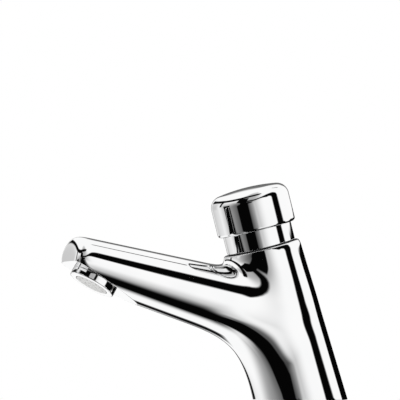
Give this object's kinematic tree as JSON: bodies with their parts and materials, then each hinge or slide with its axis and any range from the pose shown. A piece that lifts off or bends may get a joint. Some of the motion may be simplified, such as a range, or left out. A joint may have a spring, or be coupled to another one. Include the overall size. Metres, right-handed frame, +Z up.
{
  "type": "push timed tap",
  "caption": "Chrome basin tap with a leaning round body, slanted spout and domed push button that opens a self-closing timed valve; threaded tail below the deck.",
  "frame": {"origin": "centre of the base on the deck plane, on the axis of the threaded tail", "axes": "+Z up, -X towards the spout's nose, Y across; the barrel and button lean towards -X"},
  "size_m": [0.1602, 0.0498, 0.1733],
  "materials": {
    "chrome": "polished plating",
    "brass": "machined",
    "steel": "drawn and turned",
    "black_rubber": "moulded",
    "red_rubber": "pressed sheet",
    "white_plastic": "moulded acetal",
    "blue_plastic": "moulded"
  },
  "bodies": {
    "tap": {"body": "chrome", "collar": "chrome", "aerator_housing": "chrome", "tail": "brass", "back_nut": "brass", "cartridge_sleeve": "brass", "clamp_washer": "steel", "inlet_strainer": "steel", "spring_washer": "steel", "aerator_screen": "steel", "return_spring": "steel", "base_seal": "black_rubber", "clamp_gasket": "black_rubber", "nose_o_ring": "black_rubber", "sleeve_o_ring": "black_rubber", "gland_o_ring": "black_rubber", "stem_o_ring": "black_rubber", "collar_gasket": "black_rubber", "tail_seal": "red_rubber", "aerator_gasket": "red_rubber", "gland_bush": "white_plastic", "guide_ring": "white_plastic", "aerator_insert": "white_plastic", "flow_regulator": "blue_plastic"},
    "plunger": {"push_button": "chrome", "button_lock_nut": "steel", "push_stem": "steel", "piston": "white_plastic", "lip_seal": "black_rubber", "piston_circlip": "steel", "valve_holder": "brass", "valve_washer": "black_rubber", "valve_nut": "steel"}
  },
  "joints": [
    {"name": "button_push", "type": "slide", "parent": "tap", "child": "plunger", "axis": [0.2639, 0, -0.9646], "range_m": [0, 0.007], "stiffness_N_per_m": 800, "springref_m": -0.01, "deforming": ["return_spring"]}
  ]
}
